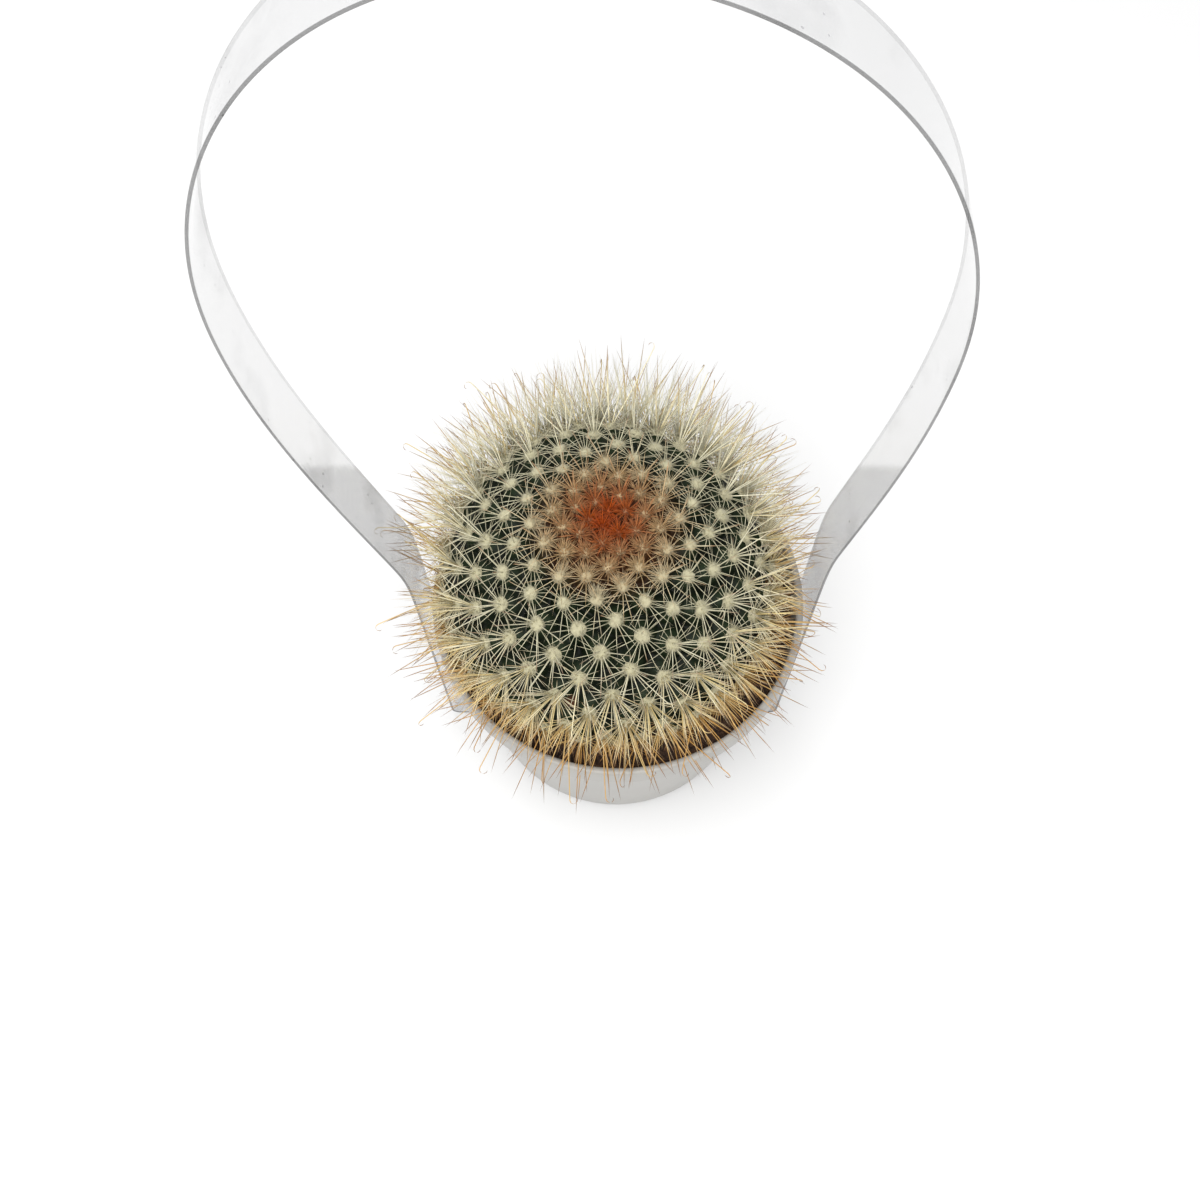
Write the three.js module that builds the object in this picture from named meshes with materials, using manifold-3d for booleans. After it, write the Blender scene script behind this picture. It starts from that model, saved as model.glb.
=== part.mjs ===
// A globular spiny cactus in a small white pot, carried in a sling of clear plastic strip.
// Millimetres, +Z up. The origin is on the ground under the middle of the pot, the strap
// spans X, and the front is on -Y.

import * as THREE from 'three';
import { mergeVertices } from 'three/addons/utils/BufferGeometryUtils.js';
import { ConvexHull } from 'three/addons/math/ConvexHull.js';
import Module from 'manifold-3d';

const wasm = await Module();
wasm.setup();

// Strap: one closed band of clear strip that passes under the pot
const strapWidth = 13;
const strapThickness = 0.6;
const strapFoldRadius = 2;
const strapFold = { left: -44.3, right: 43.7 };
const strapKnee = { left: [-45.9, 81], right: [44.4, 89] };
const strapWidest = { left: [-64.8, 172], right: [53.9, 162] };
const strapTop = [-12, 236];
const strapRound = 0.56;
const kneeLean = { left: [-7.5, 28], right: [4.5, 25] };
const widestRise = { left: 30, right: 27 };
const strapSteps = 20;

// Pot: thin moulded plastic with a plain lip band
const seatGap = 0.3;
const potBottom = strapThickness + seatGap;
const potTop = 61;
const potFootRadius = 33;
const potNeckRadius = 42.1;
const lipRadius = 43.3;
const lipHeight = 6;
const lipWall = 1.8;
const potWall = 1.4;
const potFloor = 1.8;
const potCorner = 1.6;
const lipCorner = 0.5;
const lipBlend = 2;
const potSegments = 64;

// Soil: peat, a little below the rim, with a lumpy top
const soilTop = 55.4;
const soilLump = 0.8;
const soilRings = [38.4, 36, 33.6, 31.2, 27, 18];
const soilSegments = 40;
const bodyGap = 0.45;
const holeSteps = 9;
const holeLip = 0.35;

// Cactus body: two half ellipsoids that share one equator
const bodyCentre = new THREE.Vector3(-2.5, 1.75, 65.7);
const bodyRadius = 34.6;
const bodyUpper = 26.7;
const bodyLower = 25;
const buriedAngle = 2.55;
const buriedRings = 3;
const buriedSites = 34;

// Tubercles stand in spirals, smaller and closer at the crown. Each has a blunt woolly top.
const goldenAngle = Math.PI * (3 - Math.sqrt(5));
const spiralStart = 3.922;
const firstCell = 0.836;
const lowestAbove = 0.13;
const tubercleHeight = 3.2;
const tubercleSpacing = 7.25;
const crownSpacing = 3.43;
const crownReach = 25.4;
const crownRise = 0.35;
const padShare = 0.36;
const padLevel = 0.82;

// Spines: slim three-sided needles
const spineRootRadius = 0.36;
const spineTaper = 0.75;
const spineSink = 1.5;
const radialLength = 7.6;
const sideRadialLength = 10;
const centralLength = 19;
const sideAngle = 0.9;
const shelteredAngle = 1.8;
const radialSpokes = { crown: 4, side: 2, sheltered: 1 };
const radialLift = { crown: 0.4, side: 0.7 };
const centralLift = 1.6;
const centralPlaces = [1, 4];
const needleTwist = new THREE.Vector3(0.31, -0.52, 0.8);
const hookEvery = 5;
const hookSize = 1.6;
const tuftLength = 6.5;
const tuftCount = 34;
const tuftRadius = 7;
const tuftSpread = 0.5;
const tuftLean = 0.03;
const clearOfPot = 0.45;
const liftTries = [0, 0.25, 0.5, 0.8];
const swingTries = [0, 0.3, -0.3, 0.6, -0.6, 0.9, -0.9];

const weldDistance = 1e-4;

// Same numbers on every run
function seededRandom(seed) {
  let state = seed;
  return () => {
    state = (state * 1664525 + 1013904223) % 4294967296;
    return state / 4294967296;
  };
}

function toSolid(geometry) {
  const plain = geometry.index ? geometry.clone() : mergeVertices(geometry);
  plain.deleteAttribute('normal');
  plain.deleteAttribute('uv');
  const merged = mergeVertices(plain, weldDistance);
  return new wasm.Manifold(new wasm.Mesh({
    numProp: 3,
    vertProperties: new Float32Array(merged.attributes.position.array),
    triVerts: new Uint32Array(merged.index.array),
  }));
}

function toGeometry(solid) {
  const result = solid.getMesh();
  const geometry = new THREE.BufferGeometry();
  geometry.setAttribute('position', new THREE.BufferAttribute(result.vertProperties, 3));
  geometry.setIndex(new THREE.BufferAttribute(result.triVerts, 1));
  return geometry;
}

// Closed geometry from a list of corner triples
function fromTriangles(triangles) {
  const geometry = new THREE.BufferGeometry();
  geometry.setFromPoints(triangles.flat());
  return mergeVertices(geometry, weldDistance);
}

// A profile of [radius, height] pairs, from the axis round to the axis, turned about Z
function turned(profile, segments) {
  const points = profile.map(([radius, height]) => new THREE.Vector2(radius, height));
  const geometry = new THREE.LatheGeometry(points, segments);
  geometry.deleteAttribute('normal');
  geometry.deleteAttribute('uv');
  return mergeVertices(geometry.rotateX(Math.PI / 2), weldDistance);
}

// Strap

function strapCentreLine() {
  const low = strapThickness / 2;
  const { left, right } = strapFold;
  const path = new THREE.Path();
  path.moveTo(left + strapFoldRadius, low);
  path.lineTo(right - strapFoldRadius, low);
  path.absarc(right - strapFoldRadius, low + strapFoldRadius, strapFoldRadius, -Math.PI / 2, 0, false);
  path.lineTo(...strapKnee.right);
  const [rightX, rightZ] = strapWidest.right;
  const [leftX, leftZ] = strapWidest.left;
  const [topX, topZ] = strapTop;
  const towards = (from, to) => from + strapRound * (to - from);
  const overKnee = (side) => strapKnee[side].map((value, axis) => value + kneeLean[side][axis]);
  path.bezierCurveTo(...overKnee('right'), rightX, rightZ - widestRise.right, rightX, rightZ);
  path.bezierCurveTo(rightX, towards(rightZ, topZ), towards(topX, rightX), topZ, topX, topZ);
  path.bezierCurveTo(towards(topX, leftX), topZ, leftX, towards(leftZ, topZ), leftX, leftZ);
  path.bezierCurveTo(leftX, leftZ - widestRise.left, ...overKnee('left'), ...strapKnee.left);
  path.lineTo(left, low + strapFoldRadius);
  path.absarc(left + strapFoldRadius, low + strapFoldRadius, strapFoldRadius, Math.PI, 1.5 * Math.PI);
  return path;
}

function strapGeometry() {
  const centre = strapCentreLine().getPoints(strapSteps).filter((point, index, all) => (
    index === 0 || point.distanceTo(all[index - 1]) > weldDistance
  ));
  const offset = (distance) => centre.map((point, index) => {
    const before = centre[(index + centre.length - 1) % centre.length];
    const after = centre[(index + 1) % centre.length];
    const along = after.clone().sub(before).normalize();
    return new THREE.Vector2(point.x + along.y * distance, point.y - along.x * distance);
  });
  const band = new THREE.Shape(offset(strapThickness / 2));
  band.holes.push(new THREE.Path(offset(-strapThickness / 2)));
  const geometry = new THREE.ExtrudeGeometry(band, { depth: strapWidth, bevelEnabled: false });
  return geometry.rotateX(Math.PI / 2).translate(0, strapWidth / 2, 0);
}

// Inner face of the strap beside a point at this height, on either side
function strapReach(side, height) {
  const knee = side > 0 ? strapKnee.right : strapKnee.left;
  const fold = side > 0 ? strapFold.right : strapFold.left;
  const wide = side > 0 ? strapWidest.right : strapWidest.left;
  const low = Math.min(1, height / knee[1]);
  const high = Math.max(0, (height - knee[1]) / (wide[1] - knee[1]));
  const lean = Math.abs(fold) + (Math.abs(knee[0]) - Math.abs(fold)) * low;
  return lean + (Math.abs(wide[0]) - Math.abs(knee[0])) * high - strapThickness / 2;
}

// Pot

const lipBottom = potTop - lipHeight;

// Outer wall radius below the lip band
function potRadius(height) {
  return potFootRadius + (potNeckRadius - potFootRadius) * (height - potBottom) / (lipBottom - potBottom);
}

function potProfile() {
  const inner = lipRadius - lipWall;
  const innerLow = potRadius(potBottom + potFloor) - potWall;
  return [
    [0, potBottom],
    [potFootRadius - potCorner, potBottom],
    [potFootRadius - potCorner * 0.3, potBottom + potCorner * 0.3],
    [potRadius(potBottom + potCorner), potBottom + potCorner],
    [potRadius(lipBottom), lipBottom],
    [lipRadius, lipBottom + lipCorner],
    [lipRadius, potTop - lipCorner],
    [lipRadius - lipCorner, potTop],
    [inner + lipCorner, potTop],
    [inner, potTop - lipCorner],
    [potRadius(lipBottom) - potWall, lipBottom - lipBlend],
    [innerLow, potBottom + potFloor + potCorner],
    [innerLow - potCorner, potBottom + potFloor],
    [0, potBottom + potFloor],
  ];
}

// Inner wall radius of the pot at the soil
function potInside(height) {
  const low = potBottom + potFloor + potCorner;
  const lowRadius = potRadius(potBottom + potFloor) - potWall;
  const high = lipBottom - lipBlend;
  const highRadius = potRadius(lipBottom) - potWall;
  if (height <= high) {
    return lowRadius + (highRadius - lowRadius) * (height - low) / (high - low);
  }
  const rim = lipRadius - lipWall;
  return highRadius + (rim - highRadius) * (height - high) / (potTop - lipCorner - high);
}

// Cactus body: angle 0 at the crown, a right angle at the equator

function bodyPoint(angle, turn, grow = 0) {
  const height = angle < Math.PI / 2 ? bodyUpper : bodyLower;
  const radius = bodyRadius * Math.sin(angle);
  const normal = new THREE.Vector3(
    Math.sin(angle) * height * Math.cos(turn),
    Math.sin(angle) * height * Math.sin(turn),
    Math.cos(angle) * bodyRadius,
  ).normalize();
  const point = new THREE.Vector3(
    radius * Math.cos(turn),
    radius * Math.sin(turn),
    height * Math.cos(angle),
  );
  return { point: point.add(bodyCentre).addScaledVector(normal, grow), normal };
}

// What stands at the crown is smaller and lower than at the sides
function growth(size) {
  return Math.min(1, crownRise + (1 - crownRise) * size);
}

// The angle where the body meets the soil
const soilAngle = Math.PI / 2 + Math.asin((bodyCentre.z - soilTop) / bodyLower);

function spacingAt(arc) {
  return crownSpacing + (tubercleSpacing - crownSpacing) * Math.min(1, arc / crownReach);
}

// Places one tubercle for each cell's area of surface passed on the way down from the crown
function tubercles() {
  const list = [];
  const step = 0.002;
  const packing = Math.sqrt(3) / 2;
  let arc = 0;
  let cells = 0;
  for (let angle = step; angle < soilAngle - lowestAbove; angle += step) {
    const height = angle < Math.PI / 2 ? bodyUpper : bodyLower;
    const along = Math.hypot(bodyRadius * Math.cos(angle), height * Math.sin(angle)) * step;
    const spacing = spacingAt(arc);
    arc += along;
    cells += 2 * Math.PI * bodyRadius * Math.sin(angle) * along / (packing * spacing * spacing);
    if (cells > list.length + firstCell) {
      const turn = spiralStart - list.length * goldenAngle;
      list.push({ angle, turn, arc, size: spacing / tubercleSpacing });
    }
  }
  return list;
}

// Each tubercle stands on its own cell. The cells' corners are the middles of the triangles of
// the tubercles' convex hull, and the hull's edges say which cells are neighbours.
function growCells() {
  const cells = tubercles().map(({ angle, turn, arc, size }) => {
    const rise = tubercleHeight * growth(size);
    const { point, normal } = bodyPoint(angle, turn);
    const tip = point.clone().addScaledVector(normal, rise);
    return { base: point, tip, normal, angle, turn, arc, size, rise, facets: [] };
  });
  for (let ring = 0; ring < buriedRings; ring += 1) {
    const angle = soilAngle + (buriedAngle - soilAngle) * ring / (buriedRings - 1);
    const count = Math.round(buriedSites * Math.sin(angle));
    for (let index = 0; index < count; index += 1) {
      const { point, normal } = bodyPoint(angle, (index + ring / 2) * 2 * Math.PI / count);
      cells.push({ base: point, tip: point, normal, rise: 0, facets: [] });
    }
  }
  const hull = new ConvexHull().setFromPoints(cells.map((cell) => cell.base));
  const cellOf = new Map(cells.map((cell) => [cell.base, cell]));
  const corners = new Map(hull.faces.map((face) => {
    const [a, b, c] = [face.edge, face.edge.next, face.edge.prev].map((edge) => edge.head().point);
    return [face, a.clone().add(b).add(c).divideScalar(3)];
  }));
  for (const face of hull.faces) {
    for (const edge of [face.edge, face.edge.next, face.edge.prev]) {
      const facet = { near: corners.get(face), far: corners.get(edge.twin.face) };
      cellOf.get(edge.tail().point).facets.push(facet);
    }
  }
  return cells;
}

// The edge of a tubercle's woolly top, towards one corner of its cell
function shoulder(cell, corner) {
  return cell.base.clone().lerp(corner, padShare).addScaledVector(cell.normal, cell.rise * padLevel);
}

function bodyGeometry(cells) {
  return fromTriangles(cells.flatMap((cell) => cell.facets.flatMap(({ near, far }) => {
    if (cell.rise === 0) {
      return [[cell.tip, far, near]];
    }
    const [low, high] = [shoulder(cell, near), shoulder(cell, far)];
    return [[cell.tip, high, low], [low, high, far], [low, far, near]];
  })));
}

// A needle: a three-sided root and, past a bend if it has one, a point
function needle(path, rootRadius) {
  const along = path[path.length - 1].clone().sub(path[0]).normalize();
  const side = needleTwist.clone().cross(along).normalize();
  const other = along.clone().cross(side);
  const rings = path.slice(0, -1).map((centre, index) => [0, 1, 2].map((corner) => {
    const around = corner * 2 * Math.PI / 3;
    const radius = rootRadius * (1 - spineTaper * index / path.length);
    return centre.clone()
      .addScaledVector(side, radius * Math.cos(around))
      .addScaledVector(other, radius * Math.sin(around));
  }));
  const tip = path[path.length - 1];
  const triangles = [[rings[0][0], rings[0][2], rings[0][1]]];
  for (let index = 0; index < rings.length; index += 1) {
    const ring = rings[index];
    const next = rings[index + 1];
    for (let corner = 0; corner < 3; corner += 1) {
      const after = (corner + 1) % 3;
      if (next) {
        triangles.push([ring[corner], ring[after], next[after]], [ring[corner], next[after], next[corner]]);
      } else {
        triangles.push([ring[corner], ring[after], tip]);
      }
    }
  }
  return fromTriangles(triangles);
}

// True where a spine would touch the strap, the pot or the soil
function isBlocked(point) {
  const room = clearOfPot;
  const reach = Math.hypot(point.x, point.y);
  const inRim = reach > lipRadius - lipWall - room && reach < lipRadius + room;
  if (inRim && point.z < potTop + room) {
    return true;
  }
  if (reach <= lipRadius && point.z < soilTop + soilLump + room) {
    return true;
  }
  const side = Math.sign(point.x);
  const beside = Math.abs(point.y) < strapWidth / 2 + room;
  return beside && Math.abs(point.x) > strapReach(side, point.z) - 2 * room;
}

// Turns a spine away from whatever it would touch, and shortens it only if no turn clears it
function clearSpine(root, direction, normal, length) {
  const sideways = direction.clone().cross(normal).normalize();
  for (let reach = length; reach > 0.45 * length; reach *= 0.86) {
    for (const lift of liftTries) {
      for (const swing of swingTries) {
        const tried = direction.clone()
          .addScaledVector(normal, lift)
          .addScaledVector(sideways, swing)
          .normalize();
        let blocked = false;
        for (let share = 0.2; share <= 1.001; share += 0.1) {
          blocked = blocked || isBlocked(root.clone().addScaledVector(tried, reach * share));
        }
        if (!blocked) {
          return root.clone().addScaledVector(tried, reach);
        }
      }
    }
  }
  return null;
}

// A spine that leaves the side of its tubercle just under the woolly top. A hooked one turns
// back over its last few millimetres.
function facetSpine(cell, facet, lift, length, hooked) {
  const { normal } = cell;
  const foot = facet.near.clone().add(facet.far).multiplyScalar(0.5);
  const direction = foot.sub(cell.base).normalize().addScaledVector(normal, lift).normalize();
  const root = shoulder(cell, facet.near).add(shoulder(cell, facet.far)).add(facet.far)
    .divideScalar(3).addScaledVector(direction, -spineSink);
  const end = clearSpine(root, direction, normal, length + spineSink);
  if (!end || !hooked) {
    return end && needle([root, end], spineRootRadius);
  }
  const along = end.clone().sub(root).normalize();
  const side = along.clone().cross(normal).normalize();
  const bend = end.clone().addScaledVector(along, -hookSize);
  const turn = end.clone().addScaledVector(side, 0.5 * hookSize);
  const point = bend.clone().addScaledVector(side, hookSize);
  return needle([root, bend, turn, point], spineRootRadius);
}

function spineGeometries(cells) {
  const random = seededRandom(7);
  const spines = [];
  cells.forEach((cell, index) => {
    if (cell.rise === 0 || cell.arc < tuftRadius) {
      return;
    }
    const count = cell.facets.length;
    const first = Math.floor(random() * count);
    const side = cell.angle > sideAngle;
    const sheltered = cell.angle > shelteredAngle;
    const zone = sheltered ? 'sheltered' : side ? 'side' : 'crown';
    const spokes = radialSpokes[zone];
    const length = (side ? sideRadialLength : radialLength) * growth(cell.size);
    for (let spoke = 0; spoke < spokes; spoke += 1) {
      const facet = cell.facets[(first + Math.round(spoke * count / spokes)) % count];
      const lift = (side ? radialLift.side : radialLift.crown) + 0.4 * random();
      spines.push(facetSpine(cell, facet, lift, length * (0.85 + 0.3 * random())));
    }
    if (side && !sheltered) {
      const hooked = index % hookEvery === 0;
      for (const place of centralPlaces) {
        const facet = cell.facets[(first + place) % count];
        const long = centralLength * (0.6 + 0.4 * random());
        spines.push(facetSpine(cell, facet, centralLift + random(), long, hooked && place === 1));
      }
    }
  });
  for (let index = 0; index < tuftCount; index += 1) {
    const reach = tuftRadius * Math.sqrt((index + 0.5) / tuftCount);
    const { point, normal } = bodyPoint(reach / bodyRadius, index * goldenAngle);
    const direction = normal.clone().add(new THREE.Vector3(
      tuftSpread * (random() - 0.5) - tuftLean * (point.x - bodyCentre.x),
      tuftSpread * (random() - 0.5) - tuftLean * (point.y - bodyCentre.y),
      0,
    )).normalize();
    const length = tuftLength * (0.75 + 0.25 * random()) + spineSink;
    const root = point.clone().addScaledVector(direction, -spineSink * 0.5);
    spines.push(needle([root, root.clone().addScaledVector(direction, length)], spineRootRadius));
  }
  return spines.filter((spine) => spine);
}

function cactusGeometry() {
  const cells = growCells();
  const pieces = [bodyGeometry(cells), ...spineGeometries(cells)].map(toSolid);
  return toGeometry(wasm.Manifold.union(pieces));
}

// Low lumps over the soil's top, between -1 and 1
function unevenness(x, y) {
  const broad = Math.sin(0.9 * x + 0.4 * y) * Math.cos(0.7 * y - 0.5 * x);
  const small = 0.6 * Math.sin(1.7 * x - 1.3 * y);
  return (broad + small) / 1.6;
}

// Soil fills the pot and stops short of the buried part of the body all round
function soilGeometry() {
  const bottom = potBottom + potFloor + seatGap;
  const low = bottom + potCorner;
  const profile = [
    [0, bottom],
    [potInside(low) - potCorner - seatGap, bottom],
    [potInside(low) - seatGap, low],
    [potInside(lipBottom - lipBlend) - seatGap, lipBottom - lipBlend],
    [potInside(soilTop) - seatGap, soilTop],
    ...soilRings.map((radius) => [radius, soilTop]),
    [0, soilTop],
  ];
  const bed = turned(profile, soilSegments);
  const position = bed.attributes.position;
  for (let index = 0; index < position.count; index += 1) {
    const x = position.getX(index);
    const y = position.getY(index);
    if (position.getZ(index) > soilTop - 0.01) {
      position.setZ(index, soilTop + soilLump * unevenness(x, y));
    }
  }
  const hole = [];
  for (let step = 0; step <= holeSteps; step += 1) {
    const angle = Math.PI - (Math.PI - soilAngle + holeLip) * step / holeSteps;
    const { point } = bodyPoint(angle, 0, bodyGap);
    hole.push([Math.max(0, point.x - bodyCentre.x), point.z]);
  }
  hole[0][0] = 0;
  hole.push([0, hole[hole.length - 1][1]]);
  const hollow = turned(hole, soilSegments).translate(bodyCentre.x, bodyCentre.y, 0);
  return toGeometry(toSolid(bed).subtract(toSolid(hollow)));
}

function named(name, geometry, color, roughness) {
  const mesh = new THREE.Mesh(geometry, new THREE.MeshStandardMaterial({ color, roughness, metalness: 0 }));
  mesh.name = name;
  return mesh;
}

const pottedCactus = new THREE.Group();
pottedCactus.add(named('cactus', cactusGeometry(), 0x8f9068, 0.8));
pottedCactus.add(named('soil', soilGeometry(), 0x2e1d14, 0.95));
pottedCactus.add(named('pot', turned(potProfile(), potSegments), 0xd8d8d4, 0.45));
pottedCactus.add(named('strap', strapGeometry(), 0xe4e8e8, 0.15));

export default pottedCactus;
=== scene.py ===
import math
import random

import bpy
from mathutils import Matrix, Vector, noise
from mathutils.kdtree import KDTree


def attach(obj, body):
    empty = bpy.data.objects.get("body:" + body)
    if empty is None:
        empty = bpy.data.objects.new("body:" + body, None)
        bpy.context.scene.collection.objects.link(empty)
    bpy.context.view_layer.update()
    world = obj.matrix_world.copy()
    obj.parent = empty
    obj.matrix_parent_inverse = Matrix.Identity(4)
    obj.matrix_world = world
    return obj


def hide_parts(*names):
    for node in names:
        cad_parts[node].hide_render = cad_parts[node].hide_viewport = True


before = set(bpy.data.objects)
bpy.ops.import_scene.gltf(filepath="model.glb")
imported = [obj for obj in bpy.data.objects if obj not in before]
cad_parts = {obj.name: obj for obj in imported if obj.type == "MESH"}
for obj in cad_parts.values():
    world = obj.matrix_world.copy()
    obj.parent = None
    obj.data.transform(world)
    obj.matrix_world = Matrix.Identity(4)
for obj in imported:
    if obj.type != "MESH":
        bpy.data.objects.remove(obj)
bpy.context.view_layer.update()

mm = 0.001  # sizes below are in millimetres, like the frame's own
fullTurn = 2 * math.pi
slantAxis = Vector((0.31, -0.52, 0.8))  # sets where a needle's corners start; no needle runs along it


def clamp(value):
    return min(1.0, max(0.0, value))


# mesh helpers

def addObject(name, data):
    item = bpy.data.objects.new(name, data)
    bpy.context.scene.collection.objects.link(item)
    return item


def makePiece(name, points, faces, material, node, smooth=True, sharpAngle=None, growth=None):
    mesh = bpy.data.meshes.new(name)
    mesh.from_pydata([(p[0] * mm, p[1] * mm, p[2] * mm) for p in points], [], faces)
    mesh.validate()
    if growth:  # three values for each point that the piece's material reads as red, green and blue
        layer = mesh.attributes.new("growth", "FLOAT_COLOR", "POINT")
        layer.data.foreach_set("color", [value for item in growth for value in (*item, 1.0)])
    if smooth:
        mesh.shade_smooth()
    if sharpAngle:
        mesh.set_sharp_from_angle(angle=math.radians(sharpAngle))
    mesh.materials.append(material)
    piece = addObject(name, mesh)
    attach(piece, "root")
    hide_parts(node)
    print("made", name, len(mesh.vertices), "points")


def ringOf(radius, segments):
    # X and Y of the points on a level ring; a radius of 0 gives the one point on the axis
    if radius == 0:
        return [(0.0, 0.0)]
    turns = [fullTurn * step / segments for step in range(segments)]
    return [(radius * math.cos(turn), radius * math.sin(turn)) for turn in turns]


def lathe(profile, segments):
    # turns (radius, height) pairs about Z
    points, rings = [], []
    for radius, height in profile:
        first = len(points)
        points += [(x, y, height) for x, y in ringOf(radius, segments)]
        rings.append(range(first, len(points)))
    faces = []
    for low, high in zip(rings, rings[1:]):
        for step in range(segments):
            after = (step + 1) % segments
            if len(low) == 1:
                faces.append((low[0], high[after], high[step]))
            elif len(high) == 1:
                faces.append((low[step], low[after], high[0]))
            else:
                faces.append((low[step], low[after], high[after], high[step]))
    return points, faces


def shellFaces(rows, segments):
    # a closed skin from one point on top, down rows of ring points, to one point below
    bottom, last = 1 + rows * segments, 1 + (rows - 1) * segments
    faces = []
    for step in range(segments):
        after = (step + 1) % segments
        faces.append((0, 1 + step, 1 + after))
        for row in range(rows - 1):
            high, low = 1 + row * segments, 1 + (row + 1) * segments
            faces.append((high + step, low + step, low + after, high + after))
        faces.append((last + step, bottom, last + after))
    return faces


def arc(centreX, centreY, radius, start, end, steps):
    # points on an arc, angles in degrees
    turns = [math.radians(start + (end - start) * step / steps) for step in range(steps + 1)]
    return [(centreX + radius * math.cos(turn), centreY + radius * math.sin(turn)) for turn in turns]


class MeshBed:
    # gathers many small closed bodies into one mesh
    def __init__(self):
        self.points, self.faces, self.growth = [], [], []

    def skin(self, first, sides, rows):
        # quads between rows of ring points, then a fan to the point that follows the last row
        tip = first + rows * sides
        for row in range(rows):
            low = first + row * sides
            for side in range(sides):
                after = (side + 1) % sides
                if row == rows - 1:
                    self.faces.append((low + side, low + after, tip))
                else:
                    self.faces.append((low + side, low + after, low + sides + after, low + sides + side))

    def cap(self, first, sides):
        self.faces.append(tuple(first + side for side in reversed(range(sides))))

    def addNeedle(self, path, kind, age, tone):
        sides, rows, first = kind.get("sides", 3), len(path) - 1, len(self.points)
        along = (path[-1] - path[0]).normalized()
        right = along.cross(slantAxis).normalized()
        up = along.cross(right)
        for row, centre in enumerate(path[:-1]):
            share = row / rows
            radius = kind["radius"] + (kind["tipRadius"] - kind["radius"]) * share
            for side in range(sides):
                turn = fullTurn * side / sides
                self.points.append(centre + (right * math.cos(turn) + up * math.sin(turn)) * radius)
                self.growth.append((age, share, tone))
        self.points.append(path[-1])
        self.growth.append((age, 1.0, tone))
        self.cap(first, sides)
        self.skin(first, sides, rows)


# material helpers

def feed(socket, value):
    # a number, a colour, or another node's output to link
    if isinstance(value, bpy.types.NodeSocket):
        socket.id_data.links.new(value, socket)
    else:
        socket.default_value = (*value, 1) if isinstance(value, tuple) else value


def setInputs(node, **values):
    # an underscore stands for the space in an input's label
    for label, value in values.items():
        feed(node.inputs[label.replace("_", " ")], value)
    return node


def addNode(tree, kind, operation=None, **values):
    node = tree.nodes.new("ShaderNode" + kind)
    if operation:
        node.operation = operation
    return setInputs(node, **values)


def addMath(tree, operation, first, second, clamped=False):
    node = addNode(tree, "Math", operation)
    node.use_clamp = clamped
    feed(node.inputs[0], first)
    feed(node.inputs[1], second)
    return node.outputs[0]


def addRange(tree, value, source=(0.0, 1.0), target=(0.0, 1.0)):
    node = addNode(tree, "MapRange", Value=value, From_Min=source[0], From_Max=source[1],
                   To_Min=target[0], To_Max=target[1])
    return node.outputs["Result"]


def addColourMix(tree, **values):
    mix = addNode(tree, "Mix")
    mix.data_type = "RGBA"
    return setInputs(mix, **values).outputs["Result"]


def addRamp(tree, value, stops):
    ramp = addNode(tree, "ValToRGB", Fac=value)
    elements = ramp.color_ramp.elements
    elements[0].position, elements[0].color = stops[0][0], (*stops[0][1], 1)
    elements[1].position, elements[1].color = stops[-1][0], (*stops[-1][1], 1)
    for position, colour in stops[1:-1]:
        elements.new(position).color = (*colour, 1)
    return ramp.outputs["Color"]


def newGroup(name, output, kind, **inputs):
    group = bpy.data.node_groups.new(name, "ShaderNodeTree")
    for label, value in inputs.items():
        inputKind = "NodeSocketColor" if isinstance(value, tuple) else "NodeSocketFloat"
        feed(group.interface.new_socket(name=label.replace("_", " "), in_out="INPUT",
                                        socket_type=inputKind), value)
    group.interface.new_socket(name=output, in_out="OUTPUT", socket_type=kind)
    start, end = group.nodes.new("NodeGroupInput"), group.nodes.new("NodeGroupOutput")
    place = addNode(group, "TexCoord").outputs["Object"]
    return group, start.outputs, end.inputs[output], place


def softVariationGroup():
    # lightens and darkens a colour in soft patches
    group, given, result, place = newGroup("softVariation", "Color", "NodeSocketColor",
                                           Color=(0.5, 0.5, 0.5), Scale=200.0, Strength=0.3)
    patches = addNode(group, "TexNoise", Vector=place, Scale=given["Scale"], Detail=5.0)
    low = addMath(group, "SUBTRACT", 1.0, given["Strength"])
    high = addMath(group, "ADD", 1.0, given["Strength"])
    spread = addRange(group, patches.outputs["Fac"], source=(0.3, 0.7), target=(low, high))
    scaled = addNode(group, "VectorMath", "SCALE", Vector=given["Color"], Scale=spread)
    feed(result, scaled.outputs["Vector"])
    return group


def fineReliefGroup():
    # a height for a Bump node: fine grain with some larger unevenness
    group, given, result, place = newGroup("fineRelief", "Height", "NodeSocketFloat",
                                           Grain_Scale=2500.0, Lump_Scale=300.0, Lump_Share=0.5)
    grain = addNode(group, "TexNoise", Vector=place, Scale=given["Grain Scale"], Detail=3.0)
    lumps = addNode(group, "TexNoise", Vector=place, Scale=given["Lump Scale"], Detail=2.0)
    mix = addNode(group, "Mix", Factor=given["Lump Share"], A=grain.outputs["Fac"], B=lumps.outputs["Fac"])
    feed(result, mix.outputs["Result"])
    return group


def dustSpecksGroup():
    # a mask of small scattered specks and smudges
    group, given, result, place = newGroup("dustSpecks", "Mask", "NodeSocketFloat", Speck_Scale=400.0,
                                           Speck_Size=0.12, Smudge_Scale=60.0, Smudge_Share=0.2)
    cells = addNode(group, "TexVoronoi", Vector=place, Scale=given["Speck Scale"])
    smudge = addNode(group, "TexNoise", Vector=place, Scale=given["Smudge Scale"], Detail=6.0)
    near = addMath(group, "LESS_THAN", cells.outputs["Distance"], given["Speck Size"])
    level = addRange(group, smudge.outputs["Fac"], source=(0.52, 0.72))
    few = addMath(group, "MULTIPLY", near, level)
    part = addMath(group, "MULTIPLY", level, given["Smudge Share"])
    feed(result, addMath(group, "MAXIMUM", few, part))
    return group


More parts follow.
